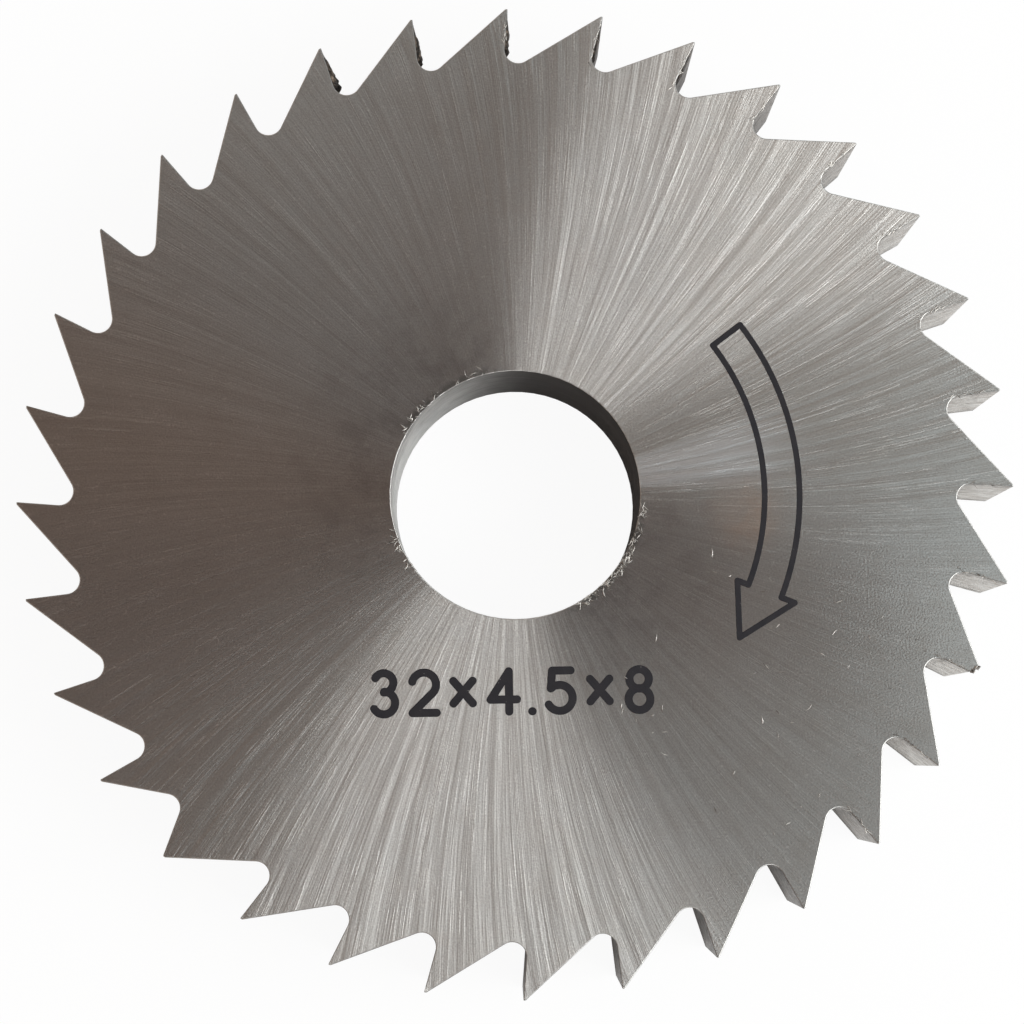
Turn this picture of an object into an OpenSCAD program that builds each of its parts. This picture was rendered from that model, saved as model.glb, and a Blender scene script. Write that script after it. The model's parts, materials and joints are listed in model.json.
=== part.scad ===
// Slitting saw: a flat disc of high-speed steel with teeth milled round its rim and a plain
// bore for the arbor. It lies on its lower side, with the bore's axis along +Z and the origin
// on that axis at the lower side. Seen from above, it cuts while turning clockwise.

/* [Blade] */
// Diameter over the tips of the teeth
outside_d = 32; // [28:0.5:48]
// Width from one ground side to the other
blade_w = 4.5; // [0.5:0.1:6]
// Diameter of the bore for the arbor
bore_d = 8; // [5:0.5:13]

/* [Teeth] */
// Number of teeth round the rim
tooth_count = 32; // [24:1:36]
// Depth of the gullets below the tips
tooth_depth = 1.82; // [1.5:0.02:2]
// Lean of the cutting faces back from the radius through their tips
rake_angle = 5; // [0:1:10]
// Radius at the root of the gullets
gullet_r = 0.45; // [0.25:0.05:0.5]
// Width of the narrow land behind each cutting edge
land_w = 0.08; // [0.04:0.01:0.3]
// Fall of the land below the rim behind each cutting edge
land_angle = 10; // [5:1:20]

/* [Wear] */
// Tooth with a chipped tip, counted anticlockwise from the one on +X
chipped_tooth = 30; // [0:1:35]
// Height that the chip has taken off its cutting edge
chip_h = 0.45; // [0.1:0.05:0.6]
// Slope of the broken surface, rising towards the tooth's back
chip_angle = 30; // [0:5:45]
// Tooth whose gullet was left half cleaned out, counted the same way
rough_tooth = 20; // [0:1:35]
// Depth of that gullet below the tips
rough_depth = 1.54; // [1.4:0.02:1.8]
// Lean of that tooth's face forward from the radius through its tip
rough_lean = 24; // [0:2:30]

/* [Hidden] */
$fn = 96;

steel = [0.56, 0.55, 0.53];

tip_r = outside_d / 2;
pitch = 360 / tooth_count;

// The blank starts larger than the saw, and what is cut from it runs out past its edge.
overrun = 1;
blank_r = tip_r + overrun / 2;

function on_circle(r, angle) = r * [cos(angle), sin(angle)];

// The space in front of one cutting face, drawn with the saw's axis at the origin and the face
// along X, outward. Its root is an arc that touches the face, the circle at the gullet's depth
// and the back of the tooth in front.
module gullet(rake, depth) {
    root_y = tip_r * sin(rake) - gullet_r;
    root_x = sqrt(pow(tip_r - depth + gullet_r, 2) - pow(root_y, 2));
    root = [root_x, root_y];
    face_end = on_circle(tip_r, rake) - root;

    // The tooth in front: a narrow land falls from its tip to its heel, and a straight back
    // runs on from there to the root.
    front_angle = rake - pitch;
    front_tip = on_circle(tip_r, front_angle) - root;
    land_run = on_circle(1, front_angle + land_angle + 90);
    heel = front_tip + land_w * land_run;
    back_angle = atan2(-heel[1], -heel[0]) + asin(gullet_r / norm(heel));
    back_end = on_circle(gullet_r, back_angle + 90);

    translate(root) {
        circle(gullet_r);
        polygon([
            [0, 0],
            [0, gullet_r],
            face_end + [overrun, 0],
            front_tip + on_circle(overrun, front_angle),
            front_tip - overrun * land_run,
            heel,
            back_end
        ]);
    }
}

// What has broken off the tip of the tooth on +X
module chip() {
    foot = on_circle(tip_r, 0) - on_circle(chip_h, -rake_angle);
    translate(foot)
        rotate(-rake_angle - chip_angle)
            translate([0, -overrun])
                square([overrun, 3 * overrun]);
}

module saw_blade() {
    color(steel)
        linear_extrude(blade_w)
            difference() {
                circle(blank_r);
                circle(d = bore_d);
                for (tooth = [0 : tooth_count - 1]) {
                    rough = tooth == rough_tooth % tooth_count;
                    rake = rough ? -rough_lean : rake_angle;
                    depth = rough ? rough_depth : tooth_depth;
                    rotate(tooth * pitch - rake)
                        gullet(rake, depth);
                }
                rotate(chipped_tooth * pitch)
                    chip();
            }
}

saw_blade();
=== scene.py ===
# %% [markdown]
# # A slitting saw in ground steel
# This lesson dresses one small milling saw for its picture. The solid comes from the CAD source,
# with every tooth already in its place, so nothing is modelled twice. What is left for Blender is
# the finish: sides that were ground from the bore to the rim, teeth that were milled, a bored hole,
# black marks on the upper side, and the burrs that no one wiped off.

# %% Load the frame
import json
import random
from math import atan2, cos, degrees, hypot, pi, radians, sin

import bmesh
import bpy
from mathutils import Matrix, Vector


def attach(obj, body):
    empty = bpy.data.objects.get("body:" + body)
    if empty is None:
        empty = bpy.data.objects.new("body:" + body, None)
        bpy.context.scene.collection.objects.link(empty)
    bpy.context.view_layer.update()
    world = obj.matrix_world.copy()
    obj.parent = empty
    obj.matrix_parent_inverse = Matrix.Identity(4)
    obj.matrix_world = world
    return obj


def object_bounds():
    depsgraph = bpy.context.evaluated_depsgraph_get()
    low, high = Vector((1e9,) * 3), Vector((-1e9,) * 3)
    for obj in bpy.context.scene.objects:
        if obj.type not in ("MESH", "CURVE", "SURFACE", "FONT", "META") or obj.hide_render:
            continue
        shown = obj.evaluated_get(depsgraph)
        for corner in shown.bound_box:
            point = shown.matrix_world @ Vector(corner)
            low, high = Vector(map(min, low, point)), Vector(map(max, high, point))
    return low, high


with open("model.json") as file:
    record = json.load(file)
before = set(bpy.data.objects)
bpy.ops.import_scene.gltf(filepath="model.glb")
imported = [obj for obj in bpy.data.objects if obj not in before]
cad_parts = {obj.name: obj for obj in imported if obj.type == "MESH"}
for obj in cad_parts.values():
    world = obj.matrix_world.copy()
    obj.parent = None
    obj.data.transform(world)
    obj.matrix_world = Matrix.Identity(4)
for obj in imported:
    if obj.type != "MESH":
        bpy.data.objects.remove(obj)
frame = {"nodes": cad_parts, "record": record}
cad_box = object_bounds()
saw = frame["nodes"]["saw_blade"]
print("saw:", len(saw.data.polygons), "faces, box", [tuple(round(c, 5) for c in p) for p in cad_box])

# %% [markdown]
# The blade's main sizes are read back from the frame instead of being typed again. The tips give
# the radius, the top of the box gives the marked side, and the bore is the mount of that name in
# the part's record.

# %% Sizes of the blade
MM = 0.001
TIP_R = cad_box[1].x
TOP = cad_box[1].z
bore = next(m for m in frame["record"]["mounts"] if m["name"] == "bore")
BORE_R = bore["dims"]["r_mm"] * MM
STEEL = next(m for m in frame["record"]["materials"] if m["slot"] == "ground_steel")["base_color"]
print(f"tips at {TIP_R / MM:.2f} mm, marked side at {TOP / MM:.2f} mm, bore radius {BORE_R / MM:.2f} mm")

# %% [markdown]
# A material is a graph, but most of it is arithmetic, and arithmetic is easier to read as a
# formula. This class wraps one socket of the graph. Adding or multiplying two of them adds a Math
# node, and `node` makes any other kind: first its settings, then its sockets.


# %% Shader maths as Python
class Wire:
    """A value that runs through a node tree."""

    def __init__(self, tree, socket=None):
        self.tree = tree
        self.socket = socket

    def node(self, kind, settings=None, sockets=None, out=0):
        made = self.tree.nodes.new(kind)
        for name, value in (settings or {}).items():
            setattr(made, name, value)
        for name, value in (sockets or {}).items():
            if isinstance(value, Wire):
                self.tree.links.new(value.socket, made.inputs[name])
            else:
                made.inputs[name].default_value = value
        return Wire(self.tree, made.outputs[out] if made.outputs else None)

    def sibling(self, out):
        """Another output of the node that this value comes from."""
        return Wire(self.tree, self.socket.node.outputs[out])

    def math(self, operation, *values):
        return self.node("ShaderNodeMath", {"operation": operation}, dict(enumerate(values)))

    def vector(self, operation, *values, out=0):
        return self.node("ShaderNodeVectorMath", {"operation": operation}, dict(enumerate(values)), out)

    def __add__(self, other):
        return self.math("ADD", self, other)

    def __sub__(self, other):
        return self.math("SUBTRACT", self, other)

    def __rsub__(self, other):
        return self.math("SUBTRACT", other, self)

    def __mul__(self, other):
        return self.math("MULTIPLY", self, other)

    def __truediv__(self, other):
        return self.math("DIVIDE", self, other)

    __radd__ = __add__
    __rmul__ = __mul__

    def step(self, low, high):
        """0 below low, 1 above high, and a smooth rise between them."""
        return self.node(
            "ShaderNodeMapRange",
            {"interpolation_type": "SMOOTHSTEP"},
            {"Value": self, "From Min": low, "From Max": high},
        )

    def mix(self, a, b):
        """Colour a where this value is 0, and colour b where it is 1."""
        return self.node("ShaderNodeMix", {"data_type": "RGBA"}, {0: self, 6: a, 7: b}, out=2)

    def scaled(self, factor):
        """A vector times a number."""
        return self.node("ShaderNodeVectorMath", {"operation": "SCALE"}, {0: self, "Scale": factor})

    def noise(self, detail=2.0, roughness=0.5):
        """Noise at the place that this vector gives."""
        sockets = {"Vector": self, "Scale": 1.0, "Detail": detail, "Roughness": roughness}
        return self.node("ShaderNodeTexNoise", {}, sockets)


print("a wire can:", [name for name in vars(Wire) if not name.startswith("_")])

# %% [markdown]
# Every finish below starts from an empty material and ends in the same few nodes, so these helpers
# make both ends. `relief` turns a height into a Bump node, whose depth is a real depth in metres.


# %% Starting and ending a material
def rgb(colour, level=1.0):
    return tuple(c * level for c in colour) + (1.0,)


def new_material(name):
    """An empty material, and the wire that its nodes start from."""
    material = bpy.data.materials.new(name)
    material.use_nodes = True
    material.node_tree.nodes.clear()
    return material, Wire(material.node_tree)


def object_place(start):
    return start.node("ShaderNodeTexCoord", out="Object")


def relief(start, height, depth):
    return start.node("ShaderNodeBump", {}, {"Strength": 1.0, "Distance": depth, "Height": height})


def finish_material(start, shader):
    start.node("ShaderNodeOutputMaterial", {}, {"Surface": shader})


def finish_principled(start, sockets):
    finish_material(start, start.node("ShaderNodeBsdfPrincipled", {}, sockets))


print("colour of the steel:", [round(c, 2) for c in rgb(STEEL)])

# %% [markdown]
# The steel finishes need to know where they are on the blade: how far from the axis, in which
# direction, and how high. Object coordinates are in metres from the bore's axis, so they are
# scaled to millimetres, which keeps the noise scales readable. A sector is a mask for one side of
# the blade: a dot product with a direction, which needs no angle and so has no seam.


# %% Where a point is on the blade
def on_blade(start):
    mm = object_place(start).scaled(1 / MM)
    flat = start.vector("MULTIPLY", mm, (1.0, 1.0, 0.0))
    radius = start.vector("LENGTH", flat, out="Value")
    spoke = start.vector("NORMALIZE", flat)
    height = start.node("ShaderNodeSeparateXYZ", {}, {0: mm}, out="Z")
    return mm, radius, spoke, height


def stretched(start, spoke, across, along):
    """A place for noise that is fine across the grain and long along it."""
    long = start.node("ShaderNodeCombineXYZ", {}, {"Z": along})
    return start.vector("ADD", spoke.scaled(across), long)


def sector(start, spoke, angle, low, high):
    """1 round that angle, fading to 0 as the cosine of the turn from it falls from high to low."""
    way = (cos(radians(angle)), sin(radians(angle)), 0.0)
    return start.vector("DOT_PRODUCT", spoke, way, out="Value").step(low, high)


rim_mm = TIP_R / MM
bore_mm = BORE_R / MM
print("radius runs from", round(bore_mm, 2), "to", round(rim_mm, 2), "mm")

# %% [markdown]
# The sides were ground with a cup wheel that swept from the bore to the rim, so its scratches run
# out like spokes and bend a little on the way. They come from noise that is fine round the blade
# and long along its radius: a grain all over, broad bands, and single bright scores that come in
# patches and break off. A wave texture could draw spokes too, but they would be evenly spaced.

# %% Scratches of the grinding wheel
GRIND_SWEEP = 0.074
# For each scratch: how fine it is across, how fast it changes along its length, and its detail.
GRAIN, BAND = (250.0, 0.6, 1.0), (24.0, 0.10, 2.0)
FINE_SCORE, BOLD_SCORE = (300.0, 0.14), (160.0, 0.10)
SCORE_PATCH, SCORE_DASH = (30.0, 0.45), (150.0, 2.0)


def grind_scratches(start, radius, spoke):
    """The grain, the bands, the scores, and the direction that they all follow."""
    sweep = radius * radius * (-GRIND_SWEEP / rim_mm**2)
    turned = {"Vector": spoke, "Angle": sweep}
    grind = start.node("ShaderNodeVectorRotate", {"rotation_type": "Z_AXIS"}, turned)

    def streak(across, along, detail=0.0):
        return stretched(start, grind, across, radius * along).noise(detail)

    scores = streak(*FINE_SCORE).step(0.60, 0.68) + streak(*BOLD_SCORE).step(0.64, 0.71)
    patch = streak(*SCORE_PATCH).step(0.42, 0.60)
    dash = streak(*SCORE_DASH).step(0.30, 0.50)
    return streak(*GRAIN), streak(*BAND), scores * patch * dash, grind


print("scratches swept by", round(degrees(GRIND_SWEEP), 1), "degrees at the rim")

# %% [markdown]
# No used side is even. An old film of oil fills the scratches on the left and at the lower right, and it
# has pooled round the bore, where it looks almost black. A wedge beside the bore is painted bright and
# bluish as a painted sheen, a warm brown patch lies next to it, and the bore's edge is bruised where the
# burrs are thick.
# Each of these is one more Mix over the steel, with a mask made of directions and radii.

# %% Oil, wear, a warm patch and a painted sheen
# For each sector: its angle, and the cosines between which it fades in.
OIL_LEFT, OIL_LOWER_RIGHT = (150, 0.30, 0.70), (-38, 0.72, 0.95)
BRUISED_LOWER, BRUISED_UPPER = (-36, 0.80, 0.93), (122, 0.86, 0.95)
# A painted sheen: a bright bluish wedge just right of the bore.
SHEEN_WEDGE = (9, 0.987, 0.998)
# Where each one starts to fade and where it is gone, in millimetres from the bore's edge.
POOL_REACH, BRUISE_REACH, SHEEN_REACH = (0.0, 5.0), (0.10, 0.34), (2.5, 6.0)
WARM_PATCH_AT, WARM_PATCH_REACH = (7.4, -0.8, 4.5), (0.3, 1.7)
OLD_BROWN, OIL_BLACK = (0.30, 0.265, 0.23), (0.165, 0.156, 0.154)
SHEEN_STEEL, WARM_PATCH_BROWN, BRUISE_BLACK = (0.72, 0.75, 0.77), (0.60, 0.43, 0.32), (0.10, 0.09, 0.085)


def near_bore(radius, full, gone):
    return 1 - radius.step(bore_mm + full, bore_mm + gone)


def oil_film(start, spoke):
    return sector(start, spoke, *OIL_LEFT) + sector(start, spoke, *OIL_LOWER_RIGHT)


def bruised_edge(start, mm, radius, spoke):
    """1 in the torn patches at the edge of the bore."""
    torn = mm.scaled(5.0).noise(3.0, 0.6).step(0.40, 0.52)
    struck = sector(start, spoke, *BRUISED_LOWER) + sector(start, spoke, *BRUISED_UPPER)
    return near_bore(radius, *BRUISE_REACH) * struck * torn


# Painted sheen: the mask of the bright wedge beside the bore.
def painted_sheen_wedge(start, radius, grind):
    return sector(start, grind, *SHEEN_WEDGE) * near_bore(radius, *SHEEN_REACH)


# A warm brown patch beside the bore, fading out round one point.
def warm_patch(start, mm):
    return 1 - start.vector("DISTANCE", mm, WARM_PATCH_AT, out="Value").step(*WARM_PATCH_REACH)


print("oil at", OIL_LEFT[0], "and", OIL_LOWER_RIGHT[0], "degrees, rubbed at", SHEEN_WEDGE[0], "degrees")

# %% [markdown]
# A flat disc of brushed metal shows its scratches as bright and dark fans. Anisotropic gloss gives
# the fans: with no tangent linked, Blender lets it run round the object's own axis. The scratches
# then go into a shallow Bump, which makes the streaks inside the fans, and into the colour, which
# keeps them visible between the fans. The oil lowers both.

# %% Ground sides
OIL_FILLS = 0.6
GRIND_DEPTH = 0.042 * MM
GRIND_ROUGHNESS = 0.335
SCRATCH_DARK, SCRATCH_LIGHT = rgb(STEEL, 0.52), rgb(STEEL, 0.92)


def ground_side():
    material, start = new_material("ground_side")
    mm, radius, spoke, _ = on_blade(start)
    grain, band, score, grind = grind_scratches(start, radius, spoke)
    speckle = mm.scaled(16.0).noise(1.0)
    speck = mm.scaled(7.0).noise(2.0).step(0.66, 0.72)
    mottle = mm.scaled(1.1).noise(4.0, 0.6).step(0.40, 0.72)
    cloud = mm.scaled(0.30).noise(3.0).step(0.35, 0.65)
    oiled = oil_film(start, spoke)
    open_cut = 1 - oiled * OIL_FILLS

    cuts = (grain * 0.20 + band * 1.3 + score * 0.06) * open_cut
    height = cuts * (radius / 10.0) + speckle * 0.08

    fine = (grain - 0.5) * 0.22 * open_cut + (speckle - 0.5) * 0.75
    beads = score * speckle.step(0.30, 0.62)
    tone = 0.5 + fine + (band - 0.5) * 0.15 + beads * 0.45 * open_cut + speck * 0.30
    colour = (mottle * 0.16 + cloud * 0.10).mix(tone.mix(SCRATCH_DARK, SCRATCH_LIGHT), rgb(OLD_BROWN))
    pooled = oiled * near_bore(radius, *POOL_REACH)
    colour = (pooled * (0.22 + mottle * 0.28)).mix(colour, rgb(OIL_BLACK))
    # Painted sheen: the wedge is painted light bluish steel along the scratches.
    painted_sheen = painted_sheen_wedge(start, radius, grind)
    colour = (painted_sheen * (band + grain - 0.35) * 0.9).mix(colour, rgb(SHEEN_STEEL))
    colour = (warm_patch(start, mm) * (0.2 + mottle * 0.2)).mix(colour, rgb(WARM_PATCH_BROWN))
    bruise = bruised_edge(start, mm, radius, spoke)
    colour = (bruise * 0.4).mix(colour, rgb(BRUISE_BLACK))

    finish_principled(
        start,
        {
            "Base Color": colour,
            "Metallic": 1.0,
            "Roughness": GRIND_ROUGHNESS + (tone - 0.5) * 0.06 + mottle * 0.02 + bruise * 0.2,
            "Anisotropic": 1.0,
            "Normal": relief(start, height, GRIND_DEPTH),
        },
    )
    return material


side_finish = ground_side()
print("ground side:", len(side_finish.node_tree.nodes), "nodes")

# %% [markdown]
# The gullets were milled, and their marks run out along the cutting faces. On the right of the blade,
# the lit side, the faces show light steel with brown lines. There they are painted darker at the root
# and along both edges as painted shade, over a mottled crust. Everywhere else the faces are painted dark
# grey as painted shade.

# %% Milled gullets
# The sector of lit faces, painted as light steel. All other faces get painted shade.
LIT_FACES = (2, 0.42, 0.88)
# Where the painted shade fades, in millimetres: outward from the root, and up from the lower side.
ROOT_BAND, LOWER_BAND, UPPER_BAND = (14.2, 15.0), (0.1, 0.7), (3.8, 4.4)
MILL_DEPTH = 0.03 * MM
# Brown of the mill lines, then the black of the painted shade and crust, then the greys of the painted
# shade.
LINE_BROWN, CRUST_AND_SHADE_BLACK = (0.29, 0.235, 0.19), (0.12, 0.108, 0.10)
SHADE_GREY, SHADE_BLACK = (0.20, 0.182, 0.168), (0.07, 0.064, 0.06)


def milled_wall():
    material, start = new_material("milled_gullet")
    mm, radius, spoke, height = on_blade(start)
    along_face = start.node("ShaderNodeCombineXYZ", {}, {"X": radius * 0.8, "Y": height * 7.0})
    marks = start.vector("ADD", along_face, spoke.scaled(6.0)).noise(3.0, 0.6)
    skin = start.vector("MULTIPLY", mm, (3.2, 3.2, 2.4)).noise(4.0, 0.65)
    crust = skin.step(0.34, 0.76)
    # Painted light and shade: light steel on the lit right side, dark painted shade elsewhere.
    lit_faces = sector(start, spoke, *LIT_FACES)
    # Painted shade: darker at the root, below the upper edge and above the lower edge.
    root_shade = 1 - radius.step(*ROOT_BAND)
    top_edge_shade = height.step(*UPPER_BAND)
    bottom_edge_shade = 1 - height.step(*LOWER_BAND)

    bare = marks.step(0.29, 0.65).mix(rgb(LINE_BROWN), rgb(STEEL, 1.3))
    crust_and_edge_shade = crust * 0.35 + root_shade * 0.3 + top_edge_shade * 0.45 + bottom_edge_shade * 0.45
    # The painted shade of the unlit faces, mottled by the crust and the mill marks.
    dark = (crust * 0.7 + marks * 0.3).mix(rgb(SHADE_GREY), rgb(SHADE_BLACK))
    finish_principled(
        start,
        {
            "Base Color": lit_faces.mix(dark, crust_and_edge_shade.mix(bare, rgb(CRUST_AND_SHADE_BLACK))),
            "Metallic": 1.0,
            "Roughness": 0.36 + crust * 0.15 + (marks - 0.5) * 0.2,
            "Normal": relief(start, marks * 0.8 + skin * 0.8, MILL_DEPTH),
        },
    )
    return material


gullet_finish = milled_wall()
print("milled gullet:", len(gullet_finish.node_tree.nodes), "nodes")

# %% [markdown]
# The bore was bored and then ground to size, which leaves fine rings round its wall. Its upper right is
# painted near-black as painted shade, dark enough to hide the metal.

# %% Bored wall
# Painted shade on the bore's upper right: its sector, how much it covers, and its black.
BORE_SHADE = (35, -0.35, 0.75)
BORE_SHADE_COVERS = 0.95
BORE_SHADE_BLACK = (0.035, 0.031, 0.03)
BORING_DEPTH = 0.012 * MM


def bored_wall():
    material, start = new_material("bored_wall")
    _, _, spoke, height = on_blade(start)
    rings = stretched(start, spoke, 1.5, height * 18.0).noise(3.0, 0.6)
    smear = stretched(start, spoke, 5.0, height * 1.2).noise(2.0)
    # Painted shade: the upper right of the bore is painted near-black, less metallic and rougher.
    bore_shade = sector(start, spoke, *BORE_SHADE)
    steel = (rings * 0.6 + smear * 0.4).step(0.34, 0.68).mix(rgb(STEEL, 1.2), rgb(STEEL, 0.65))
    finish_principled(
        start,
        {
            "Base Color": (bore_shade * BORE_SHADE_COVERS).mix(steel, rgb(BORE_SHADE_BLACK)),
            "Metallic": 1 - bore_shade * BORE_SHADE_COVERS,
            "Specular IOR Level": 0.1,
            "Roughness": 0.34 + bore_shade * 0.35 + (rings - 0.5) * 0.25,
            "Normal": relief(start, rings * 0.7 + smear * 0.3, BORING_DEPTH),
        },
    )
    return material


bore_finish = bored_wall()
print("bored wall:", len(bore_finish.node_tree.nodes), "nodes")

# %% [markdown]
# The CAD solid keeps its mesh. Only the material of each face is chosen here: a face that looks
# straight up or down is a ground side, one that is as near to the axis as the bore is its wall,
# and the rest belong to the teeth.

# %% Give each face its finish
NEAR_BORE = 1.05 * BORE_R
saw.data.materials.clear()
for finish in (side_finish, gullet_finish, bore_finish):
    saw.data.materials.append(finish)
for face in saw.data.polygons:
    upright = abs(face.normal.z) < 0.5
    in_bore = hypot(face.center.x, face.center.y) < NEAR_BORE
    face.material_index = (2 if in_bore else 1) if upright else 0
counts = [sum(f.material_index == i for f in saw.data.polygons) for i in range(3)]
print("faces: side, gullet, bore =", counts)

# %% [markdown]
# No ground edge is quite sharp. A Bevel modifier breaks each one by a few hundredths of a
# millimetre, and then the roots of the gullets catch a thin line of light. It needs help from two
# others. The mesh arrives with its faces apart, so a Weld joins them first, and the flat sides
# arrive as thin triangles, so a Decimate merges what lies in one plane.

# %% Break the edges
EDGE_BREAK, EDGE_FROM = 0.03 * MM, radians(35)
SAME_POINT, SAME_PLANE = 0.0001 * MM, radians(0.1)
saw.modifiers.new("joined_faces", "WELD").merge_threshold = SAME_POINT
flat_sides = saw.modifiers.new("flat_sides", "DECIMATE")
flat_sides.decimate_type = "DISSOLVE"
flat_sides.angle_limit = SAME_PLANE
edge = saw.modifiers.new("broken_edge", "BEVEL")
edge.width = EDGE_BREAK
edge.segments = 2
edge.limit_method = "ANGLE"
edge.angle_limit = EDGE_FROM
print("edges broken by", EDGE_BREAK / MM, "mm with", [m.name for m in saw.modifiers])

# %% [markdown]
# The marks are black and have hardly any thickness, like print from a marking laser. They could be
# painted into the steel's material, but then they would need a picture. Here they are drawn as a
# pen would draw them, in strokes along lines and arcs on the upper side.


# %% Lines and arcs for a pen
def arc(x, y, r, start, end, step=6):
    count = max(2, round(abs(end - start) / step) + 1)
    angles = [radians(start + (end - start) * i / (count - 1)) for i in range(count)]
    return [Vector((x + r * cos(a), y + r * sin(a))) for a in angles]


def line(x0, y0, x1, y1):
    return [Vector((x0, y0)), Vector((x1, y1))]


print("a full circle has", len(arc(0, 0, 1, 0, 360)) - 1, "steps")

# %% [markdown]
# Each stroke is a low ridge with round ends, and its sides slope, so that it catches a thin edge of
# light. It has four rails: two feet that stand in the steel, and two crests above it. Faces join
# each rail to the next, and a cap closes each end, so that the ridge is a solid.

# %% One stroke of the pen
MARK_H = 0.010 * MM
MARK_SLOPE = 0.014 * MM
END_TURNS = range(-75, 90, 15)


def pen_stroke(shape, path, width, lift):
    """Adds one closed ridge to a bmesh, with round ends unless its path is a loop."""
    loop = len(path) > 3 and (path[0] - path[-1]).length < width / 10
    if loop:
        path = path[:-1]
    count = len(path)
    last = count - 1
    headings = []
    for i in range(count):
        ahead = path[(i + 1) % count] if loop else path[min(i + 1, last)]
        behind = path[i - 1] if loop else path[max(i - 1, 0)]
        headings.append(atan2((ahead - behind).y, (ahead - behind).x))

    def corner(i, turn, reach, z):
        a = headings[i] + turn
        return shape.verts.new((path[i].x + reach * cos(a), path[i].y + reach * sin(a), z))

    foot = (width / 2, TOP - MARK_H / 2)
    crest = (width / 2 - MARK_SLOPE, TOP + MARK_H + lift)
    rails = [
        [corner(i, turn, *level) for i in range(count)]
        for turn, level in ((-pi / 2, foot), (-pi / 2, crest), (pi / 2, crest), (pi / 2, foot))
    ]
    lengths = [(i, (i + 1) % count) for i in range(count if loop else last)]
    for low, high in zip(rails, rails[1:] + rails[:1]):
        for i, j in lengths:
            shape.faces.new((low[i], low[j], high[j], high[i]))
    if loop:
        return
    for i, back in ((last, 0.0), (0, pi)):
        turns = [back + radians(t) for t in END_TURNS]
        right, left = ((0, 1), (3, 2)) if back == 0.0 else ((3, 2), (0, 1))
        low = [rails[right[0]][i]] + [corner(i, t, *foot) for t in turns] + [rails[left[0]][i]]
        high = [rails[right[1]][i]] + [corner(i, t, *crest) for t in turns] + [rails[left[1]][i]]
        for k in range(len(low) - 1):
            shape.faces.new((low[k], low[k + 1], high[k + 1], high[k]))
        shape.faces.new(high)
        shape.faces.new(reversed(low))


print("pen: ridges", MARK_H / MM, "mm high")

# %% [markdown]
# Whatever is drawn or scattered in a bmesh has to become an object, take a finish and ride on the
# blade's body. One helper does that for every small piece. Strokes that cross get slightly
# different heights, so that no two of their faces lie in one plane.

# %% Putting a piece on the blade
MARK_LIFT, MARK_LEVELS = 0.0004 * MM, 7


def put_on_blade(name, shape, finish):
    mesh = bpy.data.meshes.new(name)
    shape.to_mesh(mesh)
    shape.free()
    piece = bpy.data.objects.new(name, mesh)
    bpy.context.scene.collection.objects.link(piece)
    mesh.materials.append(finish)
    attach(piece, "root")
    print(f"{name}:", len(mesh.polygons), "faces")


def draw(name, strokes, width, finish):
    shape = bmesh.new()
    for i, path in enumerate(strokes):
        pen_stroke(shape, path, width, lift=i % MARK_LEVELS * MARK_LIFT)
    put_on_blade(name, shape, finish)


print("strokes differ in height by", MARK_LIFT / MM, "mm")

# %% [markdown]
# The mark itself is a burnt oxide rather than paint: blue-black, dull, and broken by small
# specks where the steel shows through.

# %% Black of the marks
MARK_BLACK, MARK_BLUE_BLACK = (0.026, 0.024, 0.027), (0.012, 0.012, 0.016)
MARK_GRIT_DEPTH = 0.006 * MM


def burnt_mark():
    material, start = new_material("burnt_mark")
    place = object_place(start)
    grit = place.scaled(9000.0).noise(3.0, 0.6)
    patch = place.scaled(2200.0).noise(2.0)
    bare = (grit * 0.65 + patch * 0.35).step(0.66, 0.72)
    black = patch.mix(rgb(MARK_BLUE_BLACK), rgb(MARK_BLACK))
    finish_principled(
        start,
        {
            "Base Color": bare.mix(black, rgb(STEEL, 0.8)),
            "Metallic": bare,
            "Roughness": 0.62 - bare * 0.2,
            "Specular IOR Level": 0.2,
            "Normal": relief(start, grit, MARK_GRIT_DEPTH),
        },
    )
    return material


mark_finish = burnt_mark()
print("burnt mark:", len(mark_finish.node_tree.nodes), "nodes")

# %% [markdown]
# The arrow shows which way the saw turns. It is an outline that bends round the bore, so two arcs
# about the axis and a few straight strokes draw all of it.

# %% Turning arrow
ARROW_IN, ARROW_OUT = 8.00 * MM, 9.12 * MM
ARROW_TAIL, ARROW_NECK, ARROW_POINT = 36.3, -22.2, -33.6
HEAD_IN, HEAD_OUT, HEAD_TIP = 7.62 * MM, 9.58 * MM, 8.50 * MM
ARROW_PEN = 0.20 * MM


def polar(r, angle):
    return r * cos(radians(angle)), r * sin(radians(angle))


arrow_strokes = [
    arc(0, 0, ARROW_IN, ARROW_TAIL, ARROW_NECK, step=2),
    arc(0, 0, ARROW_OUT, ARROW_TAIL, ARROW_NECK, step=2),
    line(*polar(ARROW_IN, ARROW_TAIL), *polar(ARROW_OUT, ARROW_TAIL)),
    line(*polar(ARROW_IN, ARROW_NECK), *polar(HEAD_IN, ARROW_NECK)),
    line(*polar(ARROW_OUT, ARROW_NECK), *polar(HEAD_OUT, ARROW_NECK)),
    line(*polar(HEAD_IN, ARROW_NECK), *polar(HEAD_TIP, ARROW_POINT)),
    line(*polar(HEAD_OUT, ARROW_NECK), *polar(HEAD_TIP, ARROW_POINT)),
]
draw("turning_arrow", arrow_strokes, ARROW_PEN, mark_finish)

# %% [markdown]
# Below the bore stand plain numbers: the blade's diameter, width and bore in millimetres, taken
# from the frame. Each figure is a few arcs and lines in a box that is one unit high, as on a
# drawing. A text object would be quicker, but it has thick and thin strokes, and a marking tool
# has one width of line.

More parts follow.
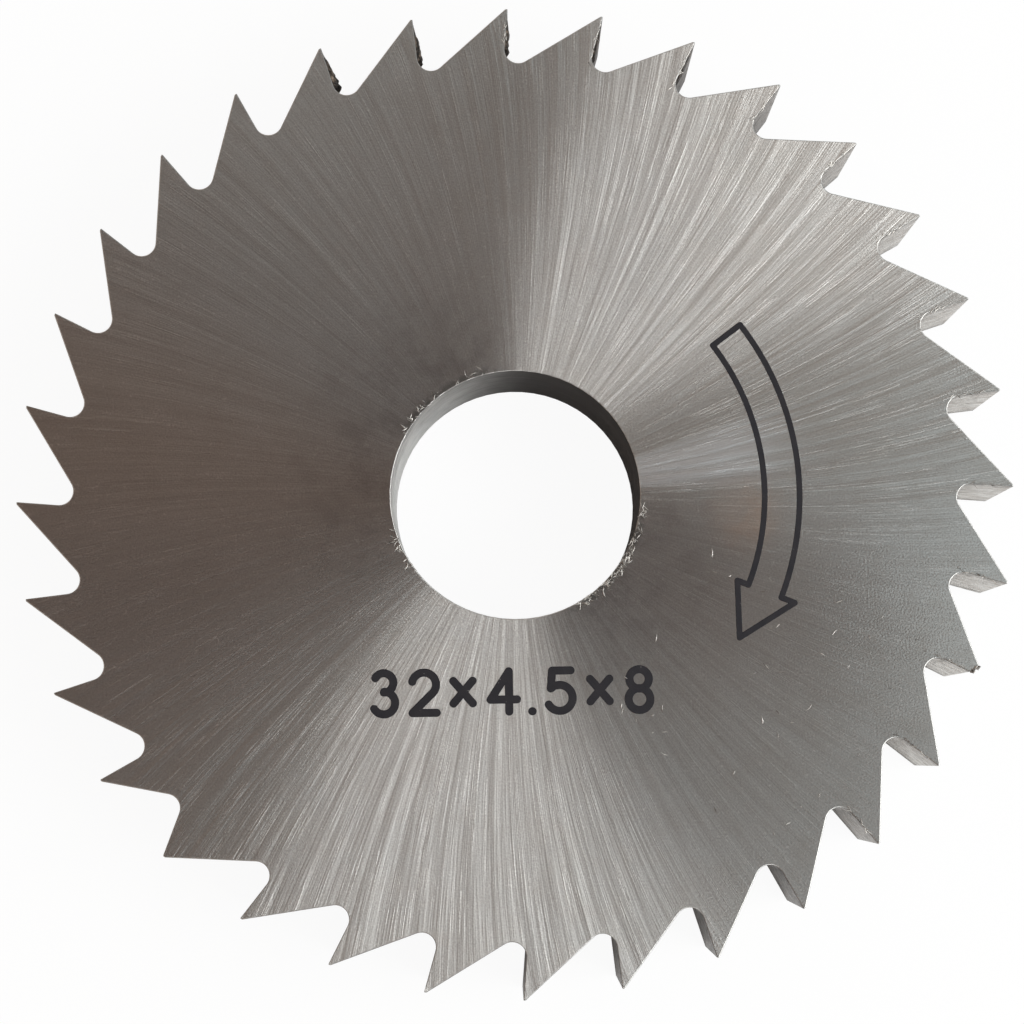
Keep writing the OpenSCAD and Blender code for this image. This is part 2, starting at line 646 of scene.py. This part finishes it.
# %% Size in plain numbers
FIGURE_H = 1.28 * MM
FIGURE_W, FIGURE_GAP = 0.62, 0.36
FIGURE_PEN = 0.27 * MM
NUMBERS_AT = (-0.2 * MM, -6.30 * MM)
FIGURES = {
    "2": [arc(0.31, 0.70, 0.30, 165, -38), line(0.546, 0.515, 0.02, 0), line(0.02, 0, 0.62, 0)],
    "3": [arc(0.29, 0.76, 0.24, 150, -90), arc(0.29, 0.26, 0.28, 88, -150)],
    "4": [line(0.46, 0, 0.46, 1), line(0.46, 1, 0.0, 0.30), line(0.0, 0.30, 0.66, 0.30)],
    "5": [line(0.56, 1, 0.10, 1), line(0.10, 1, 0.06, 0.56), arc(0.28, 0.32, 0.32, 132, -150)],
    "8": [arc(0.30, 0.76, 0.24, 0, 360), arc(0.30, 0.26, 0.27, 0, 360)],
    ".": [line(0.05, 0.0, 0.06, 0.0)],
    "x": [line(0.06, 0.22, 0.54, 0.78), line(0.06, 0.78, 0.54, 0.22)],
}
NARROW = {".": 0.10}


def number_strokes(text, centre):
    at, strokes = 0.0, []
    for figure in text:
        for path in FIGURES[figure]:
            strokes.append([Vector((p.x + at, p.y)) for p in path])
        at += NARROW.get(figure, FIGURE_W) + FIGURE_GAP
    middle = Vector(((at - FIGURE_GAP) / 2, 0.5))
    return [[(p - middle) * FIGURE_H + Vector(centre) for p in path] for path in strokes]


sizes = [2 * TIP_R / MM, TOP / MM, 2 * BORE_R / MM]
size_text = "x".join(f"{s:.2f}".rstrip("0").rstrip(".") for s in sizes)
draw("size_numbers", number_strokes(size_text, NUMBERS_AT), FIGURE_PEN, mark_finish)

# %% [markdown]
# Boring and grinding push a little steel over an edge. It stays there as slivers, some lying on
# the side and some curling into the open. Each one is a thin bent rod with a three-sided section
# and a point at both ends. Its grit mixes dark and bright steel, as torn metal does.

# %% Slivers of torn steel
SLIVER_STEPS = 5
SLIVER_WIDEST, SLIVER_CROWN = 0.016 * MM, 0.6
SLIVER_BEND, SLIVER_CURL = 1.2, 0.05 * MM
SLIVER_LIFT = 0.004 * MM
TAPER_FROM, TAPER_RUN = 0.08, 0.84
TORN_DARK, TORN_LIGHT = (0.14, 0.13, 0.12), (0.70, 0.68, 0.64)


def torn_burr():
    material, start = new_material("torn_burr")
    grit = object_place(start).scaled(3500.0).noise(2.0).step(0.3, 0.7)
    finish_principled(
        start,
        {
            "Base Color": grit.mix(rgb(TORN_DARK), rgb(TORN_LIGHT)),
            "Metallic": 1.0,
            "Roughness": 0.25 + grit * 0.3,
        },
    )
    return material


def sliver(shape, dice, foot, heading, reach, widest=SLIVER_WIDEST):
    """Adds one sliver to a bmesh. It starts at foot, bends to one side and curls up."""
    bend = dice.uniform(-SLIVER_BEND, SLIVER_BEND)
    wide = dice.uniform(0.4, 1.0) * widest
    curl = dice.uniform(0.0, SLIVER_CURL)
    at, rows = foot, []
    for i in range(SLIVER_STEPS + 1):
        half = wide * sin(pi * (TAPER_FROM + TAPER_RUN * i / SLIVER_STEPS))
        across = Vector((-sin(heading), cos(heading), 0)) * half
        crown = Vector((0, 0, SLIVER_CROWN * half))
        rows.append([shape.verts.new(at + way) for way in (-across, crown, across)])
        at = at + Vector((cos(heading) * reach, sin(heading) * reach, curl)) / SLIVER_STEPS
        heading += bend / SLIVER_STEPS
    for a, b in zip(rows, rows[1:]):
        for k in range(3):
            shape.faces.new((a[k - 1], b[k - 1], b[k], a[k]))
    shape.faces.new(rows[0])
    shape.faces.new(reversed(rows[-1]))


dice = random.Random(32)
burr_finish = torn_burr()
on_top = Vector((0, 0, TOP + SLIVER_LIFT))
print("torn burr:", len(burr_finish.node_tree.nodes), "nodes")

# %% [markdown]
# At the bore the slivers stand thick on four stretches of the edge. A seeded generator scatters
# them, so that every run gives the same burrs. A particle system could do it too, but its copies
# would all have one shape.

# %% Burrs at the bore
# For each stretch: the angles where it starts and ends, and how many slivers it has.
BURR_STRETCHES = [(-62, -32, 90), (-36, -4, 60), (196, 218, 24), (98, 150, 30)]

burr_shape = bmesh.new()
for low, high, count in BURR_STRETCHES:
    for _ in range(count):
        angle = radians(dice.uniform(low, high))
        root = BORE_R + dice.uniform(-0.03, 0.16) * MM
        foot = Vector((root * cos(angle), root * sin(angle), 0)) + on_top
        heading = angle + dice.uniform(-1.5, 1.5)
        sliver(burr_shape, dice, foot, heading, dice.uniform(0.05, 0.30) * MM)
put_on_blade("bore_burrs", burr_shape, burr_finish)

# %% [markdown]
# Grinding has left finer slivers along the cutting faces on the right of the blade. To scatter
# them, the script needs to know where a cutting face is. It is a straight line that leans back from
# the radius through its tip, so one turn for each tooth gives the way out along it and the way off
# it. The frame carries neither the count of the teeth nor their lean, so both are repeated here.
# One tooth has lost its tip, so its slivers stop lower.

# %% Slivers along the cutting faces
TEETH, RAKE = 32, radians(5)
FACE_ROOT, FACE_TIP = 14.25 * MM, 15.62 * MM
BURRED_TEETH = [tooth % TEETH for tooth in range(28, 41)]
BURRS_PER_TOOTH = 14
SHORTEST_BURR, LONGEST_BURR = 0.06 * MM, 0.26 * MM
CHIPPED_TOOTH, CHIP_FOOT = 30, 15.46 * MM


def cutting_face(tooth, along):
    """A point on the face of a tooth at height 0, with the ways out along it and off it."""
    turn = radians(tooth * 360 / TEETH) - RAKE
    outward = Vector((cos(turn), sin(turn), 0))
    off_face = Vector((sin(turn), -cos(turn), 0))
    return outward * along - off_face * TIP_R * sin(RAKE), outward, off_face


edge_shape = bmesh.new()
for tooth in BURRED_TEETH:
    highest = CHIP_FOOT - LONGEST_BURR if tooth == CHIPPED_TOOTH else FACE_TIP
    for _ in range(BURRS_PER_TOOTH):
        foot, outward, off_face = cutting_face(tooth, dice.uniform(FACE_ROOT, highest))
        foot = foot + off_face * dice.uniform(-0.06, 0.01) * MM + on_top
        heading = atan2(outward.y, outward.x) + dice.choice((0, pi)) + dice.uniform(-0.5, 0.5)
        sliver(edge_shape, dice, foot, heading, dice.uniform(SHORTEST_BURR, LONGEST_BURR))
print("slivers on", len(BURRED_TEETH), "teeth:", len(edge_shape.faces), "faces")

# %% [markdown]
# Wider crumbs hang on the break of the chipped tooth, and a few slivers have come off and lie loose
# on the side. All of them are the same torn steel, so they join the slivers of the cutting faces in
# one piece.

# %% Crumbs and loose slivers
CHIP_RUN, CHIP_TURN = 0.34 * MM, radians(60)
CHIP_CRUMBS, CRUMB_WIDEST = 14, 0.05 * MM
LOOSE_SLIVERS, LOOSE_ANGLES = 44, (-66, -18)
LOOSE_FROM, LOOSE_TO = 6.2 * MM, 14.0 * MM

chip_foot, outward, _ = cutting_face(CHIPPED_TOOTH, CHIP_FOOT)
outward_turn = atan2(outward.y, outward.x)
broken = Vector((cos(outward_turn + CHIP_TURN), sin(outward_turn + CHIP_TURN), 0))
for _ in range(CHIP_CRUMBS):
    foot = chip_foot + broken * dice.uniform(0.0, 1.0) * CHIP_RUN + on_top
    heading = outward_turn + dice.uniform(-0.9, 0.9)
    sliver(edge_shape, dice, foot, heading, dice.uniform(0.04, 0.17) * MM, CRUMB_WIDEST)
for _ in range(LOOSE_SLIVERS):
    angle = radians(dice.uniform(*LOOSE_ANGLES))
    out = dice.uniform(LOOSE_FROM, LOOSE_TO)
    foot = Vector((out * cos(angle), out * sin(angle), 0)) + on_top
    sliver(edge_shape, dice, foot, dice.uniform(0, 2 * pi), dice.uniform(0.08, 0.30) * MM)
put_on_blade("edge_burrs", edge_shape, burr_finish)

# %% [markdown]
# On a few teeth a dark lip stands out of the cutting face. Each lip is a low closed blister along the
# face, a little below its upper edge. Its section has four points, and the same generator makes its
# reach uneven from one section to the next.

# %% Lips on the cutting faces
# The teeth that have a lip, and how far it reaches off the face in millimetres.
LIP_REACH = {6: 0.08, 7: 0.11, 8: 0.16, 9: 0.19, 10: 0.27}
LIP_FROM, LIP_TO = 14.45 * MM, 15.80 * MM
# Each point of the section: its share of the reach, or below 0 its millimetres inside the face,
# and its depth below the upper side in millimetres.
LIP_SECTION = [(-0.03, 0.06), (0.70, 0.22), (1.00, 0.70), (-0.03, 1.30)]
LIP_STEPS = 18
LIP_RISE, LIP_FALL, LIP_THINS, LIP_THINNEST = 8, 3, 0.5, 0.06
LIP_BLACK, LIP_BROWN = (0.03, 0.027, 0.025), (0.24, 0.19, 0.15)


def dark_lip():
    material, start = new_material("dark_lip")
    grit = object_place(start).scaled(6000.0).noise(3.0, 0.6)
    finish_principled(
        start,
        {
            "Base Color": grit.step(0.45, 0.75).mix(rgb(LIP_BLACK), rgb(LIP_BROWN)),
            "Metallic": 1.0,
            "Roughness": 0.4 + grit * 0.2,
        },
    )
    return material


def lip(shape, dice, tooth, reach):
    """Adds one blister to a bmesh, fullest near the root of the tooth."""
    rings = []
    for i in range(LIP_STEPS + 1):
        t = i / LIP_STEPS
        full = min(1.0, LIP_RISE * t, LIP_FALL * (1 - t)) * (1.0 - LIP_THINS * t)
        uneven = max(LIP_THINNEST, full * dice.uniform(0.7, 1.1))
        foot, _, off_face = cutting_face(tooth, LIP_FROM + (LIP_TO - LIP_FROM) * t)
        ring = []
        for off, down in LIP_SECTION:
            swell = reach * uneven if off > 0 else 1.0
            below = Vector((0, 0, TOP - down * MM))
            ring.append(shape.verts.new(foot + off_face * off * swell * MM + below))
        rings.append(ring)
    for a, b in zip(rings, rings[1:]):
        for k in range(4):
            shape.faces.new((a[k], a[k - 1], b[k - 1], b[k]))
    shape.faces.new(rings[0])
    shape.faces.new(reversed(rings[-1]))


lip_shape = bmesh.new()
for tooth, reach in LIP_REACH.items():
    lip(lip_shape, dice, tooth, reach)
bmesh.ops.recalc_face_normals(lip_shape, faces=lip_shape.faces)
put_on_blade("face_lips", lip_shape, dark_lip())

# %% [markdown]
# The floor is a plain pale sheet. A camera ray meets mostly a plain white of strength 1, and the
# rest of the floor is ordinary paint, which holds the shadow. A ray that comes off the metal meets
# far less of that white, because it would wash out the dark faces of the teeth.

# %% Floor
FLOOR_SIDE = 3.0
FLOOR_GAP = 0.01 * MM
FLOOR_WHITE, FLOOR_SHINE = 0.94, 0.1
FLOOR_PAINT, WHITE = rgb((0.85, 0.85, 0.85)), rgb((1.0, 1.0, 1.0))


def flat_sheet(name, side, cuts):
    """A square sheet in the scene, which rides on nothing."""
    shape = bmesh.new()
    bmesh.ops.create_grid(shape, x_segments=cuts, y_segments=cuts, size=side / 2)
    mesh = bpy.data.meshes.new(name)
    shape.to_mesh(mesh)
    shape.free()
    sheet = bpy.data.objects.new(name, mesh)
    bpy.context.scene.collection.objects.link(sheet)
    return sheet


def pale_floor():
    material, start = new_material("pale_floor")
    in_view = start.node("ShaderNodeLightPath", out="Is Camera Ray")
    through = in_view.sibling("Is Transmission Ray")
    seen = in_view * FLOOR_WHITE + in_view.sibling("Is Glossy Ray") * FLOOR_SHINE + through * FLOOR_WHITE
    paint = start.node("ShaderNodeBsdfDiffuse", {}, {"Color": FLOOR_PAINT})
    white = start.node("ShaderNodeEmission", {}, {"Color": WHITE, "Strength": 1.0})
    finish_material(start, start.node("ShaderNodeMixShader", {}, {0: seen, 1: paint, 2: white}))
    return material


floor = flat_sheet("floor", FLOOR_SIDE, cuts=4)
floor.location.z = cad_box[0].z - FLOOR_GAP
floor.data.materials.append(pale_floor())
print("floor:", FLOOR_SIDE, "m square")

# %% [markdown]
# One soft window stands to the right of the blade. Ground steel shows only what lies in the plane
# across its scratches, so this one light makes two bright fans: one above the bore on the right,
# and one below it.

# %% Window
WINDOW_AZIMUTH, WINDOW_HEIGHT, WINDOW_FAR = -15.7, 35.5, 0.332
WINDOW_SIDES = (0.264, 0.236)
WINDOW_WATTS = 1.0
window_foot = polar(cos(radians(WINDOW_HEIGHT)), WINDOW_AZIMUTH)
WINDOW_AT = WINDOW_FAR * Vector((*window_foot, sin(radians(WINDOW_HEIGHT))))
lamp = bpy.data.lights.new("window", "AREA")
lamp.shape = "RECTANGLE"
lamp.size, lamp.size_y = WINDOW_SIDES
lamp.energy = WINDOW_WATTS
window = bpy.data.objects.new("window", lamp)
bpy.context.scene.collection.objects.link(window)
window.location = WINDOW_AT
window.rotation_euler = (-WINDOW_AT).to_track_quat("-Z", "Y").to_euler()
print("window at", [round(c / MM) for c in WINDOW_AT], "mm")

# %% [markdown]
# A bare room would fill everything between the fans with the same grey. A dark card close above
# the blade, of the kind that a studio uses to keep a shine under control, gives the fans their
# dark neighbours. It is hidden from the camera and shows only as a reflection.

# %% Dark card
CARD_AT = Vector((-25.0, -9.9, 84.0)) * MM
CARD_SIDES = (90.6 * MM, 124.5 * MM)
CARD_TURN = -17.6
FELT_DARK, FELT_LIGHT = (0.115, 0.062, 0.048), (0.135, 0.077, 0.058)


def dark_card():
    material, start = new_material("dark_card")
    nap = object_place(start).scaled(60.0).noise(3.0)
    felt = nap.mix(rgb(FELT_DARK), rgb(FELT_LIGHT))
    finish_principled(start, {"Base Color": felt, "Roughness": 1.0, "Specular IOR Level": 0.0})
    return material


card = flat_sheet("shade_card", 1.0, cuts=1)
card.location = CARD_AT
card.scale = (*CARD_SIDES, 1.0)
card.rotation_euler.z = radians(CARD_TURN)
card.visible_camera = False
card.data.materials.append(dark_card())
print("card at", [round(c / MM) for c in CARD_AT], "mm")

# %% [markdown]
# The room is the world: a pale ceiling that is warm on the left and cool on the window's side,
# over dim walls, so that the teeth keep their dark faces in a low view. The camera itself sees
# plain white.

# %% Room
COOL_SIDE = (-8, -0.2, 0.22)
WARM_CEILING, COOL_CEILING = (0.92, 0.765, 0.655), (1.01, 1.09, 1.11)
DIM_WALL, SKYLINE = (0.36, 0.36, 0.37), (0.20, 0.56)

world = bpy.data.worlds.new("room")
bpy.context.scene.world = world
world.use_nodes = True
world.node_tree.nodes.clear()
room = Wire(world.node_tree)
look = room.node("ShaderNodeTexCoord", out="Generated")
up = room.node("ShaderNodeSeparateXYZ", {}, {0: look}, out="Z")
daylight = sector(room, look, *COOL_SIDE)
ceiling = daylight.mix(rgb(WARM_CEILING), rgb(COOL_CEILING))
walls = (1 - up.step(*SKYLINE)).mix(ceiling, rgb(DIM_WALL))
light = room.node("ShaderNodeLightPath", out="Is Camera Ray").mix(walls, WHITE)
glow = room.node("ShaderNodeBackground", {}, {"Color": light, "Strength": 1.0})
room.node("ShaderNodeOutputWorld", {}, {"Surface": glow})
print("room:", len(world.node_tree.nodes), "nodes")

# %% [markdown]
# The camera looks almost straight down from a hand's breadth away, a little from below the bore
# and with the blade turned by less than a degree. Blender starts a camera's view at 100 mm, which
# is beyond this blade, so the near limit is moved in.

# %% Camera
CAMERA_AT = Vector((-0.477, -8.344, 81.016)) * MM
CAMERA_TURN = (5.807, -0.179, -0.889)
CAMERA_LENS, CAMERA_SENSOR = 84.375, 36.0
CAMERA_NEAR = 5 * MM
eye = bpy.data.cameras.new("camera")
eye.sensor_width = CAMERA_SENSOR
eye.lens = CAMERA_LENS
eye.clip_start = CAMERA_NEAR
camera = bpy.data.objects.new("camera", eye)
bpy.context.scene.collection.objects.link(camera)
camera.location = CAMERA_AT
camera.rotation_mode = "YXZ"
camera.rotation_euler = [radians(a) for a in CAMERA_TURN]
bpy.context.scene.camera = camera
bpy.context.scene.view_settings.view_transform = "Standard"
print("camera", [round(c / MM, 2) for c in CAMERA_AT], "mm, lens", eye.lens)
